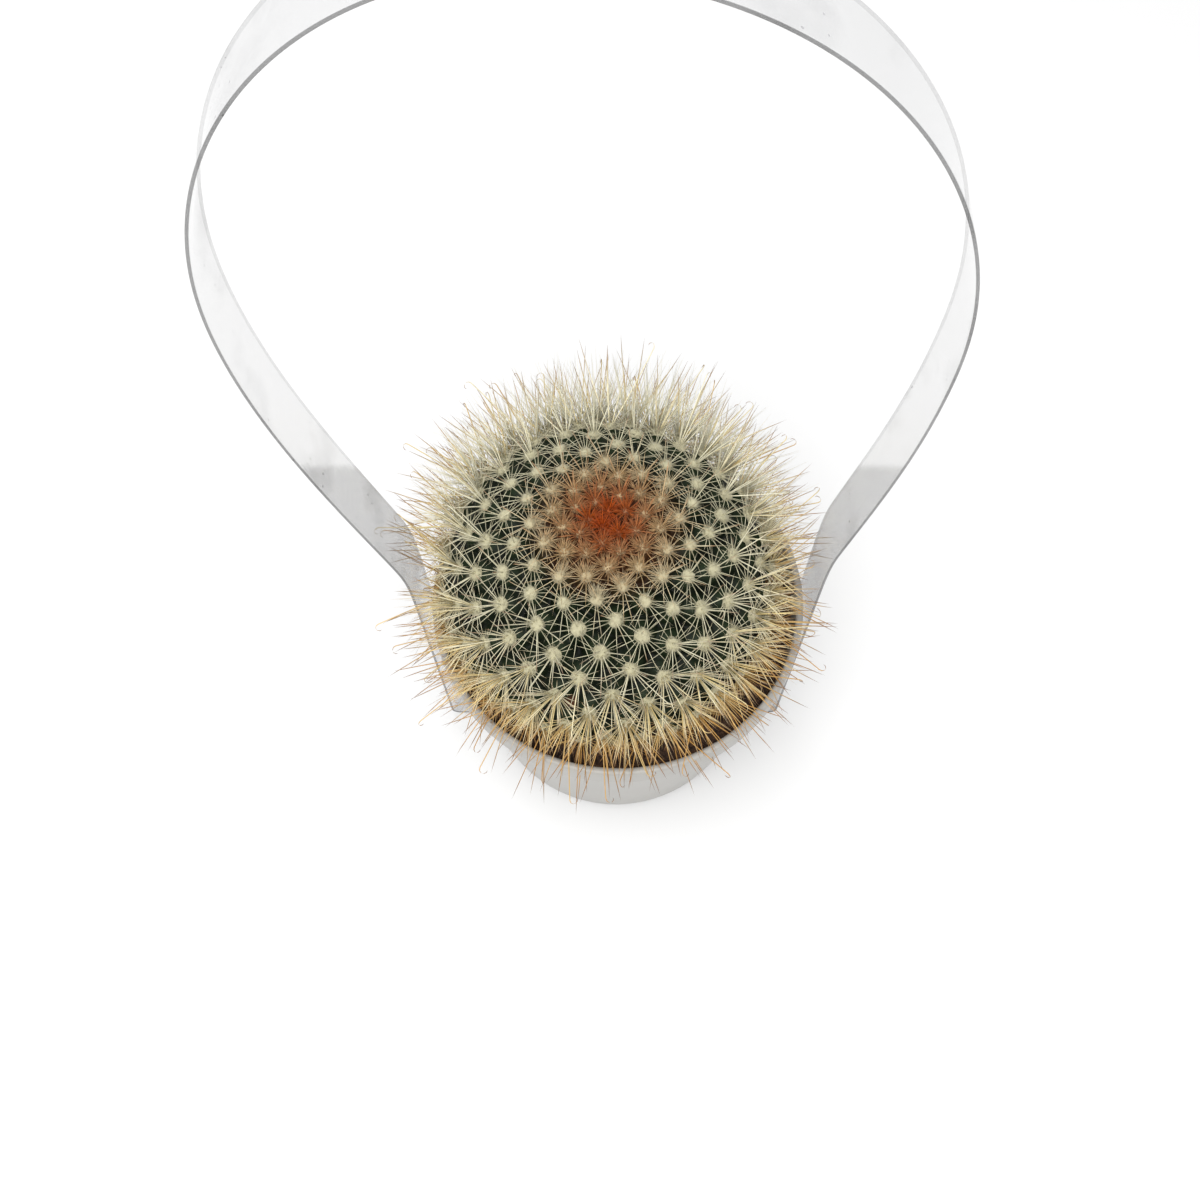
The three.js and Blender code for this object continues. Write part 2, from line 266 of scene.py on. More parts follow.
softVariation = softVariationGroup()
fineRelief = fineReliefGroup()
dustSpecks = dustSpecksGroup()


def placeGroup(tree, group, **values):
    node = addNode(tree, "Group")
    node.node_tree = group
    return setInputs(node, **values).outputs[0]


def newMaterial(name, **values):
    material = bpy.data.materials.new(name)
    material.use_nodes = True
    shader = material.node_tree.nodes["Principled BSDF"]
    return material, material.node_tree, setInputs(shader, **values)


def growthParts(tree):
    # the three values that a piece keeps for each of its points
    place = addNode(tree, "Attribute")
    place.attribute_name = "growth"
    return addNode(tree, "SeparateColor", Color=place.outputs["Color"]).outputs


def addColour(tree, shader, colour, patches):
    # the base colour, with soft patches over it
    setInputs(shader, Base_Color=placeGroup(tree, softVariation, Color=colour, **patches))


def addBump(tree, shader, bump, grain):
    relief = addNode(tree, "Bump", Height=placeGroup(tree, fineRelief, **grain), **bump)
    setInputs(shader, Normal=relief.outputs["Normal"])


# the plant's growth: tubercles in spirals, crown to soil

plant = {
    "centre": Vector((-2.5, 1.75, 65.7)),
    "radius": 34.6,
    "upper": 26.7,  # crown above the equator, between tubercles
    "lower": 25.0,
    "soilTop": 55.4,
    "tubercleHeight": 3.2,
    "crownHeight": 0.35,  # share of it that does not shrink with a tubercle's size
    "spacing": 7.25,
    "crownSpacing": 3.43,
    "crownReach": 25.4,
    "cellArea": 0.866,  # over the spacing squared, as in a honeycomb
    "spiralStart": 3.922,
    "firstCell": 0.836,
    "angleStep": 0.002,
    "bareAngle": 0.13,  # no tubercle stands closer to the soil
}
goldenAngle = math.pi * (3 - math.sqrt(5))
soilAngle = math.pi / 2 + math.asin((plant["centre"].z - plant["soilTop"]) / plant["lower"])


def halfHeight(angle):
    return plant["upper"] if angle < math.pi / 2 else plant["lower"]


def bodyPoint(angle, turn):
    height, radius = halfHeight(angle), plant["radius"]
    normal = Vector((math.sin(angle) * height * math.cos(turn), math.sin(angle) * height * math.sin(turn),
                     math.cos(angle) * radius)).normalized()
    point = Vector((radius * math.sin(angle) * math.cos(turn), radius * math.sin(angle) * math.sin(turn),
                    height * math.cos(angle)))
    return point + plant["centre"], normal


def growTubercles():
    sites, step, way, cells = [], plant["angleStep"], 0.0, 0.0
    angle = step
    while angle < soilAngle - plant["bareAngle"]:
        along = math.hypot(plant["radius"] * math.cos(angle), halfHeight(angle) * math.sin(angle)) * step
        reach = min(1.0, way / plant["crownReach"])
        spacing = plant["crownSpacing"] + (plant["spacing"] - plant["crownSpacing"]) * reach
        way += along
        around = fullTurn * plant["radius"] * math.sin(angle)
        cells += around * along / (plant["cellArea"] * spacing * spacing)
        if cells > len(sites) + plant["firstCell"]:
            turn = plant["spiralStart"] - len(sites) * goldenAngle
            size = spacing / plant["spacing"]
            share = plant["crownHeight"] + (1 - plant["crownHeight"]) * size
            rise = plant["tubercleHeight"] * min(1.0, share)
            base, normal = bodyPoint(angle, turn)
            down = Vector((math.cos(turn), math.sin(turn), 0.0))
            down = (down - normal * down.dot(normal)).normalized()
            sites.append({"angle": angle, "turn": turn, "way": way, "size": size, "spacing": spacing,
                          "rise": rise, "base": base, "tip": base + normal * rise, "normal": normal,
                          "down": down, "across": down.cross(normal)})
        angle += step
    for site in sites:
        site["age"] = site["way"] / way  # 0 at the crown, 1 at the soil
    return sites


tubercles = growTubercles()
print("tubercles:", len(tubercles))


def outward(site, turn):
    # a direction along the plant's surface; a turn of 0 points down its side
    return site["down"] * math.cos(turn) + site["across"] * math.sin(turn)


def makePlantPiece(name, bed, material):
    makePiece(name, bed.points, bed.faces, material, "cactus", growth=bed.growth)


# flesh

flesh = {
    "colours": [(0.0, (0.0014, 0.0024, 0.0010)), (0.45, (0.0045, 0.0090, 0.0030)),
                (1.0, (0.016, 0.028, 0.011))],  # from the furrows to the tubercles' tips; the furrows' near black is painted shade between the tubercles
    "crown": (0.085, 0.026, 0.010),  # young flesh under the red-brown tuft
    "crownEnds": (0.05, 0.26),
    "scar": (0.10, 0.040, 0.018),
    "scarPlace": Vector((-10.9, -30.8, 74.7)),
    "scarReach": 2.3,
    "scarSharpness": 3.0,
    "roughness": 0.5,
    "specular": 0.12,
    "patches": {"Scale": 260.0, "Strength": 0.35},
    "bump": {"Strength": 0.35, "Distance": 0.0003},
    "grain": {"Grain Scale": 2600.0, "Lump Scale": 700.0, "Lump Share": 0.4},
    "tubercleSharpness": 1.7,
    "cellReach": 0.6,
    "neighbours": 3,
    "soilFade": 0.1,  # angle over which the tubercles flatten out towards the soil
    "ripple": 0.12,
    "rippleScale": 0.5,
    "buriedAngle": 2.5,  # down to here the rings go on in the soil
    "bottomShare": 0.82,  # depth of the buried tip, as a share of the lower half's height
    "rows": 170,
    "columns": 300,
}


def fleshMaterial():
    material, tree, shader = newMaterial("cactusFlesh", Roughness=flesh["roughness"],
                                         Specular_IOR_Level=flesh["specular"])
    parts = growthParts(tree)  # angle from the crown, height on the tubercle, scar
    # darker low on the tubercles: painted shade in the furrows
    height = addRamp(tree, parts["Green"], flesh["colours"])
    old = addRange(tree, parts["Red"], source=flesh["crownEnds"])
    crown = addColourMix(tree, Factor=old, A=flesh["crown"], B=height)
    scar = addColourMix(tree, Factor=parts["Blue"], A=crown, B=flesh["scar"])
    addColour(tree, shader, scar, flesh["patches"])
    addBump(tree, shader, flesh["bump"], flesh["grain"])
    return material


def makeFlesh():
    tree = KDTree(len(tubercles))
    for index, site in enumerate(tubercles):
        tree.insert(site["base"], index)
    tree.balance()
    rows, columns, fade, bed = flesh["rows"], flesh["columns"], flesh["soilFade"], MeshBed()

    def addPoint(angle, turn):
        base, normal = bodyPoint(angle, turn)
        level, rise = 0.0, 0.0
        for spot, index, distance in tree.find_n(base, flesh["neighbours"]):
            site = tubercles[index]
            share = distance / (flesh["cellReach"] * site["spacing"])
            if 1.0 - share ** flesh["tubercleSharpness"] > level:
                level, rise = 1.0 - share ** flesh["tubercleSharpness"], site["rise"]
        if angle > soilAngle - fade:
            level *= max(0.0, 1 - (angle - soilAngle + fade) / fade)
        ripple = flesh["ripple"] * noise.noise(base * flesh["rippleScale"])
        point = base + normal * (rise * level + ripple)
        away = (point - flesh["scarPlace"]).length / flesh["scarReach"]
        bed.points.append(point)
        bed.growth.append((angle / soilAngle, level, clamp(flesh["scarSharpness"] * (1.0 - away))))

    addPoint(0.0, 0.0)
    for row in range(1, rows + 1):
        for column in range(columns):
            addPoint(flesh["buriedAngle"] * row / rows, fullTurn * column / columns)
    bed.points.append(plant["centre"] - Vector((0, 0, plant["lower"] * flesh["bottomShare"])))
    bed.growth.append((1.0, 0.0, 0.0))
    bed.faces = shellFaces(rows, columns)
    makePlantPiece("cactusFlesh", bed, fleshMaterial())


# areole wool

wool = {
    "radius": 1.72,
    "height": 1.3,
    "sunk": 0.35,
    "lump": 0.22,
    "rings": 5,
    "sides": 10,
    "colours": [(0.05, (0.34, 0.075, 0.018)), (0.12, (0.46, 0.33, 0.18)),
                (0.34, (0.46, 0.43, 0.285)), (1.0, (0.46, 0.43, 0.285))],  # by age
    "roughness": 0.95,
    "specular": 0.2,
    "sheen": 0.2,
    "patches": {"Scale": 1500.0, "Strength": 0.12},
    "bump": {"Strength": 0.6, "Distance": 0.0003},
    "grain": {"Grain Scale": 6000.0, "Lump Scale": 2000.0, "Lump Share": 0.3},
    "seed": 21,
}
woolFibres = {
    "count": 60,
    "length": 1.5,
    "spread": (0.6, 1.2),  # of the lengths
    "radius": 0.06,
    "tipRadius": 0.02,
    "seat": (0.3, 0.9),  # where they root, as a share of the tuft's radius
    "lift": 0.3,
    "out": (0.4, 1.2),
    "up": (0.3, 1.2),
    "curl": 0.3,
    "halfway": 0.4,  # share of the curl that the middle of a fibre has
}


def woolMaterial():
    material, tree, shader = newMaterial("areoleWool", Roughness=wool["roughness"],
                                         Specular_IOR_Level=wool["specular"], Sheen_Weight=wool["sheen"])
    colour = addRamp(tree, growthParts(tree)["Red"], wool["colours"])
    addColour(tree, shader, colour, wool["patches"])
    addBump(tree, shader, wool["bump"], wool["grain"])
    return material


def makeWool():
    dice = random.Random(wool["seed"])
    bed = MeshBed()
    rings, sides = wool["rings"], wool["sides"]
    for site in tubercles:
        scale, normal, age, height = site["size"], site["normal"], site["age"], wool["height"]
        reach, first = wool["radius"] * scale, len(bed.points)
        seat = site["tip"] - normal * wool["sunk"]
        for ring in range(rings):
            lift = ring / rings
            around = math.sqrt(1 - lift * lift)
            for side in range(sides):
                flat = outward(site, fullTurn * (side + 0.5 * ring) / sides)
                lump = 1 + wool["lump"] * dice.uniform(-1, 1)
                bed.points.append(seat + flat * reach * around * lump + normal * height * lift * scale * lump)
                bed.growth.append((age, lift, 0.5))
        bed.points.append(seat + normal * height * scale)
        bed.growth.append((age, 1.0, 0.5))
        bed.cap(first, sides)
        bed.skin(first, sides, rings)
        for fibre in range(woolFibres["count"]):
            out = outward(site, dice.uniform(0, fullTurn))
            spot = seat + out * reach * dice.uniform(*woolFibres["seat"]) + normal * woolFibres["lift"]
            way = out * dice.uniform(*woolFibres["out"]) + normal * dice.uniform(*woolFibres["up"])
            way.normalize()
            curl = Vector([dice.uniform(-1, 1) for axis in range(3)]) * woolFibres["curl"]
            length = woolFibres["length"] * dice.uniform(*woolFibres["spread"]) * scale
            middle = spot + way * length * 0.5 + curl * woolFibres["halfway"]
            bed.addNeedle([spot, middle, spot + way * length + curl], woolFibres, age, dice.random())
    makePlantPiece("areoleWool", bed, woolMaterial())


# strap: one band of clear strip that passes under the pot and loops high above it

strap = {
    "width": 13.0,
    "thickness": 0.6,
    "foldRadius": 2.0,
    "foldLeft": -44.3,
    "foldRight": 43.7,
    "kneeLeft": (-45.9, 81.0),
    "kneeRight": (44.4, 89.0),
    "widestLeft": (-64.8, 172.0),
    "widestRight": (53.9, 162.0),
    "top": (-12.0, 236.0),
    "round": 0.56,
    "kneeLeftHandle": (-7.5, 28),
    "kneeRightHandle": (4.5, 25),
    "widestLeftHandle": (0, -30),
    "widestRightHandle": (0, -27),
    "runSteps": 40,
    "foldSteps": 8,
    "legSteps": 30,
    "curveSteps": 70,
    "easeAbove": 30,
    "easePasses": 14,
    "edge": 0.16,
    "edgeBevel": 0.3,
    "columns": 12,
    "sharpAngle": 40,
    "sheenTop": 120.5,  # height at which the legs' painted grey sheen ends, in the middle of the strip
    "sheenSlant": 1.65,
    "sheenBottom": 48.0,
    "topEase": 1.5,
    "bottomEase": 12.0,
    "faceColour": (0.36, 0.36, 0.37),
    # the dark line along the cut edges is painted shade
    "edgeShadeColour": (0.10, 0.10, 0.10),
    "archCover": 0.145,
    "legSheenCover": 0.335,
    "edgeShadeCover": 0.76,
    "backEdge": 0.3,  # the far cut edge gets much less of the painted edge shade
    "roughness": 0.12,
    "dust": {"Speck Scale": 420.0, "Speck Size": 0.10, "Smudge Scale": 70.0, "Smudge Share": 0.12},
}


def straight(start, end, steps):
    # the points after start, up to end
    return [tuple(a + (b - a) * step / steps for a, b in zip(start, end)) for step in range(1, steps + 1)]


def bezier(a, b, c, d):
    points, steps = [], strap["curveSteps"]
    for step in range(1, steps + 1):
        t = step / steps
        weights = ((1 - t) ** 3, 3 * t * (1 - t) ** 2, 3 * t * t * (1 - t), t ** 3)
        points.append(tuple(sum(w * p[axis] for w, p in zip(weights, (a, b, c, d))) for axis in (0, 1)))
    return points


def handle(end):
    # the curve handle beside a knee or a widest point
    return tuple(place + offset for place, offset in zip(strap[end], strap[end + "Handle"]))


def archHandles(wide, top):
    bulge = strap["round"]
    return (wide[0], wide[1] + bulge * (top[1] - wide[1])), (top[0] + bulge * (wide[0] - top[0]), top[1])


def strapLine():
    # the strip's middle line in X and Z, anticlockwise from the bottom run's left end
    low, fold, steps = strap["thickness"] / 2, strap["foldRadius"], strap["foldSteps"]
    left, right = strap["foldLeft"] + fold, strap["foldRight"] - fold
    kneeLeft, kneeRight, top = strap["kneeLeft"], strap["kneeRight"], strap["top"]
    wideLeft, wideRight = strap["widestLeft"], strap["widestRight"]
    riseLeft, overLeft = archHandles(wideLeft, top)
    riseRight, overRight = archHandles(wideRight, top)
    line = [(left, low)] + straight((left, low), (right, low), strap["runSteps"])[:-1]
    line += arc(right, low + fold, fold, -90, 0, steps)
    line += straight(line[-1], kneeRight, strap["legSteps"])
    line += bezier(kneeRight, handle("kneeRight"), handle("widestRight"), wideRight)
    line += bezier(wideRight, riseRight, overRight, top)
    line += bezier(top, overLeft, riseLeft, wideLeft)
    line += bezier(wideLeft, handle("widestLeft"), handle("kneeLeft"), kneeLeft)
    line += straight(kneeLeft, (strap["foldLeft"], low + fold), strap["legSteps"])[:-1]
    line += arc(left, low + fold, fold, 180, 270, steps)[:-1]
    return line


def easeCorners(line):
    # the film bends softly where the legs turn outward
    for turn in range(strap["easePasses"]):
        line = [line[i] if line[i][1] < strap["easeAbove"] else
                tuple((line[i - 1][axis] + 2 * line[i][axis] + line[(i + 1) % len(line)][axis]) / 4
                      for axis in (0, 1)) for i in range(len(line))]
    return line


def edgeShade(across):
    # painted shade: the near cut edge shows dark, the far one less
    if abs(across) < strap["width"] / 2 - 0.5 * strap["edge"]:
        return 0.0
    return 1.0 if across < 0 else strap["backEdge"]


def legShade(across, height):
    # painted sheen: the grey on the legs ends above in a slanted line and fades out below
    above = (strap["sheenTop"] - strap["sheenSlant"] * across - height) / strap["topEase"]
    return clamp(above) * clamp((height - strap["sheenBottom"]) / strap["bottomEase"])


def strapMaterial():
    material, tree, shader = newMaterial("clearStrip", Roughness=strap["roughness"])
    parts = growthParts(tree)  # painted cut-edge shade, painted leg sheen
    face = addRange(tree, parts["Green"], target=(strap["archCover"], strap["legSheenCover"]))
    cut = addNode(tree, "Mix", Factor=parts["Red"], A=face, B=strap["edgeShadeCover"])
    dust = placeGroup(tree, dustSpecks, **strap["dust"])
    tint = addColourMix(tree, Factor=parts["Red"], A=strap["faceColour"], B=strap["edgeShadeColour"])
    setInputs(shader, Base_Color=tint, Alpha=addMath(tree, "ADD", cut.outputs["Result"], dust, clamped=True))
    return material


def makeStrap():
    half, thick, edge, steps = strap["width"] / 2, strap["thickness"] / 2, strap["edge"], strap["columns"]
    bevel = strap["edgeBevel"] * edge
    section = [((half - edge) * (2 * step / steps - 1), -thick) for step in range(steps + 1)]
    section += [(half - bevel, -thick + bevel), (half, -thick + edge), (half, thick - edge),
                (half - bevel, thick - bevel)]
    section += [(-across, -rise) for across, rise in section]
    line = easeCorners(strapLine())
    count, corners = len(line), len(section)
    points, faces, growth = [], [], []
    for index, (x, z) in enumerate(line):
        before, after = line[index - 1], line[(index + 1) % count]
        along = Vector((after[0] - before[0], 0, after[1] - before[1])).normalized()
        out = Vector((along.z, 0, -along.x))
        for across, rise in section:
            points.append(Vector((x, across, z)) + out * rise)
            # red carries the painted edge shade, green the painted leg sheen
            growth.append((edgeShade(across), legShade(across, z), 0.5))
    for index in range(count):
        ring, nextRing = index * corners, (index + 1) % count * corners
        for corner in range(corners):
            after = (corner + 1) % corners
            faces.append((ring + corner, nextRing + corner, nextRing + after, ring + after))
    makePiece("clearStrap", points, faces, strapMaterial(), "strap",
              sharpAngle=strap["sharpAngle"], growth=growth)


# pot

pot = {
    "bottom": 0.9,
    "top": 61.0,
    "footRadius": 33.0,
    "neckRadius": 42.1,
    "wall": 1.4,
    "floor": 1.8,
    "corner": 1.6,
    "recess": 0.5,  # the underside stands this much above the ring it rests on
    "recessInset": 6.0,
    "ringInset": 5.2,
    "sideStart": 4,
    "sideStep": 5,
    "neckDrop": 0.3,
    "neckStep": 0.25,
    "lipHeight": 6.0,
    "lipRadius": 43.3,
    "lipWall": 1.8,
    "lipRound": 0.8,
    "lipCorner": 0.5,  # rounding of the lip's lower edge
    "insideNeck": 2.0,  # below the lip, where the inside starts to narrow
    "insideFoot": 6,  # above the bottom, where it turns in to the floor
    "floorEdge": [(2.4, 0.6), (4.0, 0.0)],  # inward from the foot, and up from the floor
    "roundSteps": 6,
    "cornerSteps": 4,
    "segments": 180,
    "sharpAngle": 50,
    # a light grey for the white plastic: painted shade that gives the pot wall its shaded tone
    "colour": (0.37, 0.360, 0.336),
    "dirt": (0.20, 0.14, 0.09),
    "roughness": 0.38,
    "patches": {"Scale": 35.0, "Strength": 0.04},
    "specks": {"Speck Scale": 210.0, "Speck Size": 0.07, "Smudge Scale": 60.0, "Smudge Share": 0.05},
    "bump": {"Strength": 0.12, "Distance": 0.0004},
    "grain": {"Grain Scale": 1800.0, "Lump Scale": 120.0, "Lump Share": 0.7},
}


def potMaterial():
    material, tree, shader = newMaterial("whitePotPlastic", Roughness=pot["roughness"])
    clean = placeGroup(tree, softVariation, Color=pot["colour"], **pot["patches"])
    specks = placeGroup(tree, dustSpecks, **pot["specks"])
    setInputs(shader, Base_Color=addColourMix(tree, Factor=specks, A=clean, B=pot["dirt"]))
    addBump(tree, shader, pot["bump"], pot["grain"])
    return material


def makePot():
    bottom, top, corner, wall = pot["bottom"], pot["top"], pot["corner"], pot["wall"]
    foot, neck, lip = pot["footRadius"], pot["neckRadius"], pot["lipRadius"]
    small, tiny, steps = pot["lipRound"], pot["lipCorner"], pot["roundSteps"]
    lipBottom, inner = top - pot["lipHeight"], lip - pot["lipWall"]
    underside, floorTop = bottom + pot["recess"], bottom + pot["floor"]
    lean = (neck - foot) / (lipBottom - bottom)
    profile = [(0, underside), (foot - pot["recessInset"], underside), (foot - pot["ringInset"], bottom)]
    profile += arc(foot - corner, bottom + corner, corner, -90, -10, steps)
    profile += [(foot + lean * height, bottom + height)
                for height in range(pot["sideStart"], int(lipBottom - bottom), pot["sideStep"])]
    profile += [(neck, lipBottom - pot["neckDrop"]), (neck + pot["neckStep"], lipBottom)]
    profile += arc(lip - tiny, lipBottom + tiny, tiny, -80, 0, pot["cornerSteps"])
    profile += arc(lip - small, top - small, small, 0, 90, steps)
    profile += arc(inner + small, top - small, small, 95, 180, steps)
    profile += [(neck - wall, lipBottom - pot["insideNeck"]),
                (foot + lean * pot["insideFoot"] - wall, bottom + pot["insideFoot"])]
    profile += [(foot - inset, floorTop + rise) for inset, rise in pot["floorEdge"]] + [(0, floorTop)]
    points, faces = lathe(profile, pot["segments"])
    makePiece("whitePot", points, faces, potMaterial(), "pot", sharpAngle=pot["sharpAngle"])


# spines: what all kinds share

spines = {
    "clearance": 0.35,
    "soilClearance": 0.9,
    "farthest": 56.6,  # no tip reaches further back than this
    "escapes": [(0, 0), (0, 0.35), (0, -0.35), (0.3, 0), (0.3, 0.6), (0.3, -0.6), (0.7, 0), (0.7, 0.9),
                (0.7, -0.9), (1.2, 0)],  # lift and swing, tried in turn where something is in the way
    "shortening": 0.85,  # where none of them helps
    "shortest": 3.0,
    "sideAngle": 0.95,  # where the plant's side begins
    "backGrowth": 0.38,  # the far side's spines are longer and closer together
    "hookSize": 0.9,
    "hookTurn": 200,
    "hookSteps": 5,
    "rootColours": [(0.0, (0.52, 0.080, 0.008)), (0.07, (0.50, 0.118, 0.020)), (0.13, (0.50, 0.25, 0.11)),
                    (0.20, (0.56, 0.39, 0.20)), (0.27, (0.60, 0.49, 0.31)), (0.33, (0.58, 0.55, 0.385)),
                    (0.50, (0.61, 0.58, 0.405)), (0.64, (0.80, 0.76, 0.57)), (0.80, (0.74, 0.60, 0.29)),
                    (1.0, (0.58, 0.32, 0.09))],  # by age
    "tipColours": [(0.0, (0.42, 0.060, 0.012)), (0.07, (0.38, 0.080, 0.020)), (0.13, (0.38, 0.16, 0.06)),
                   (0.20, (0.44, 0.27, 0.12)), (0.27, (0.52, 0.38, 0.21)), (0.33, (0.68, 0.63, 0.45)),
                   (0.56, (0.72, 0.60, 0.38)), (0.78, (0.45, 0.22, 0.08)), (1.0, (0.32, 0.13, 0.04))],
    "tipBlend": (0.5, 0.95),  # where along a spine its tip's colour comes in
    "tone": (0.78, 1.12),  # from the darkest spine to the lightest
    "patches": {"Scale": 900.0, "Strength": 0.12},
    "roughness": 0.42,
    "specular": 0.3,
}


def strapInside(side, height):
    # how far out the strap's inner face stands beside a point at this height
    fold, knee, wide = strap["fold" + side], strap["knee" + side], strap["widest" + side]
    low = min(1.0, height / knee[1])
    high = max(0.0, (height - knee[1]) / (wide[1] - knee[1]))
    lean = abs(fold) + (abs(knee[0]) - abs(fold)) * low
    return lean + (abs(wide[0]) - abs(knee[0])) * high - strap["thickness"] / 2


def isBlocked(point):
    # whether the rim, the soil or the strap is in the way here
    room, reach = spines["clearance"], math.hypot(point.x, point.y)
    outside, inside = pot["lipRadius"], pot["lipRadius"] - pot["lipWall"]
    if inside - room < reach < outside + room and point.z < pot["top"] + room:
        return True
    if reach < outside and point.z < plant["soilTop"] + spines["soilClearance"]:
        return True
    if point.y > spines["farthest"]:
        return True
    if abs(point.y) < strap["width"] / 2 + room:
        side = "Right" if point.x > 0 else "Left"
        return abs(point.x) > strapInside(side, point.z) - 2 * room
    return False


def isClear(path):
    return not any(isBlocked(point) for point in path[1:])


def spinePath(root, way, length, sag, segments, hook=None):
    # a slightly bent spine, with its tip rolled into a small hook where hook is a vector
    points = []
    for step in range(segments + 1):
        share = step / segments
        points.append(root + way * length * share + sag * length * share * share)
    if hook is not None:
        size, steps = spines["hookSize"], spines["hookSteps"]
        along = (points[-1] - points[-2]).normalized()
        middle = points[-1] + hook * size
        for step in range(1, steps + 1):
            turn = math.radians(spines["hookTurn"]) * step / steps
            points.append(middle - hook * size * math.cos(turn) + along * size * math.sin(turn))
    return points


def clearPath(site, root, way, length, sag, segments, hook=None):
    # the same spine, turned aside or shortened as far as it takes to keep clear
    sideways = way.cross(site["normal"]).normalized()
    while length > spines["shortest"]:
        for lift, swing in spines["escapes"]:
            tried = (way + site["normal"] * lift + sideways * swing).normalized()
            path = spinePath(root, tried, length, sag, segments, hook)
            if isClear(path):
                return path
        length *= spines["shortening"]
    return None


def backShare(site):
    # how much a site on the far side outgrows one in front; the side bristles also use it for a painted glow,
    # paler on the backlit far side
    if site["angle"] < spines["sideAngle"]:
        return 0.0
    return spines["backGrowth"] * max(0.0, math.sin(site["turn"]))


def spineMaterial(name, roots=spines["rootColours"], tips=spines["tipColours"]):
    material, tree, shader = newMaterial(name, Roughness=spines["roughness"],
                                         Specular_IOR_Level=spines["specular"])
    parts = growthParts(tree)  # age, place along the spine, random tone
    along = addRange(tree, parts["Green"], source=spines["tipBlend"])
    blend = addColourMix(tree, Factor=along, A=addRamp(tree, parts["Red"], roots),
                         B=addRamp(tree, parts["Red"], tips))
    tone = addRange(tree, parts["Blue"], target=spines["tone"])
    shade = addNode(tree, "VectorMath", "SCALE", Vector=blend, Scale=tone)
    addColour(tree, shader, shade.outputs["Vector"], spines["patches"])
    return material


# radial spines: a pale star round each areole

radials = {
    "count": 16,
    "radius": 0.105,
    "tipRadius": 0.06,
    "length": 8.2,
    "sideLength": 9.2,
    "youngLength": 5.2,
    "spread": (0.85, 1.1),
    "acrossShare": 0.80,  # of the length, where one points across the plant's side
    "downShare": 0.27,  # more of it where one points down, and less where it points up
    "jitter": 0.35,
    "lift": (0.12, 0.45),
    "sideLift": 0.3,
    "youngLift": (0.8, 2.6),
    "youngAge": 0.26,
    "youngLoss": 0.3,  # share of them that the youngest areoles don't have yet
    "youngSpeed": 1.6,
    "sideStart": 0.75,
    "sideWidth": 0.5,
    "seat": 0.7,
    "sunk": 0.15,
    "sag": (-0.08, 0.04),
    "bend": (-0.04, 0.04),
    "segments": 2,
    "seed": 5,
}


def makeRadials():
    dice = random.Random(radials["seed"])
    bed = MeshBed()
    for site in tubercles:
        normal = site["normal"]
        young = max(0.0, 1 - site["age"] / radials["youngAge"])
        side = clamp((site["angle"] - radials["sideStart"]) / radials["sideWidth"])
        count = int(radials["count"] * (1 - radials["youngLoss"] * young))
        full = radials["length"] + (radials["sideLength"] - radials["length"]) * side
        full += (radials["youngLength"] - full) * min(1.0, radials["youngSpeed"] * young)
        start = dice.uniform(0, 1)
        for spoke in range(count):
            turn = fullTurn * (spoke + start + radials["jitter"] * dice.uniform(-1, 1)) / count
            flat = outward(site, turn)
            lift = dice.uniform(*radials["lift"]) + radials["sideLift"] * side * dice.random()
            lift += young * dice.uniform(*radials["youngLift"])
            way = (flat + normal * lift).normalized()
            share = radials["acrossShare"] + radials["downShare"] * math.cos(turn)
            length = full * (dice.uniform(*radials["spread"]) * share)
            root = site["tip"] + flat * radials["seat"] * site["size"] - normal * radials["sunk"]
            sag = normal * dice.uniform(*radials["sag"]) + site["across"] * dice.uniform(*radials["bend"])
            path = clearPath(site, root, way, length, sag, radials["segments"])
            if path:
                bed.addNeedle(path, radials, site["age"], dice.random())
    makePlantPiece("radialSpines", bed, spineMaterial("paleSpine"))


# central spines: fewer, longer and darker, some of them hooked

centrals = {
    "young": (5, 6.2, (2.0, 5.0)),  # count, length and lifts
    "top": (2, 9.0, (1.5, 3.5)),
    "side": (6, 17.5, (1.0, 4.5)),
    "youngAge": 0.2,
    "sideStart": 0.75,
    "radius": 0.14,
    "tipRadius": 0.072,
    "sides": 4,
    "spread": (0.62, 1.0),
    "backShare": 0.7,  # of the far side's growth
    "jitter": 0.3,
    "seat": 0.4,
    "sag": (0.0, 0.06),
    "bend": (-0.06, 0.06),
    "hookEvery": 9,
    "segments": 5,
    "ageing": 0.12,  # those on the side look this much older
    "tipColours": [(0.0, (0.42, 0.060, 0.012)), (0.15, (0.38, 0.14, 0.055)), (0.32, (0.40, 0.23, 0.12)),
                   (0.55, (0.27, 0.14, 0.08)), (1.0, (0.21, 0.10, 0.05))],
    "seed": 6,
}


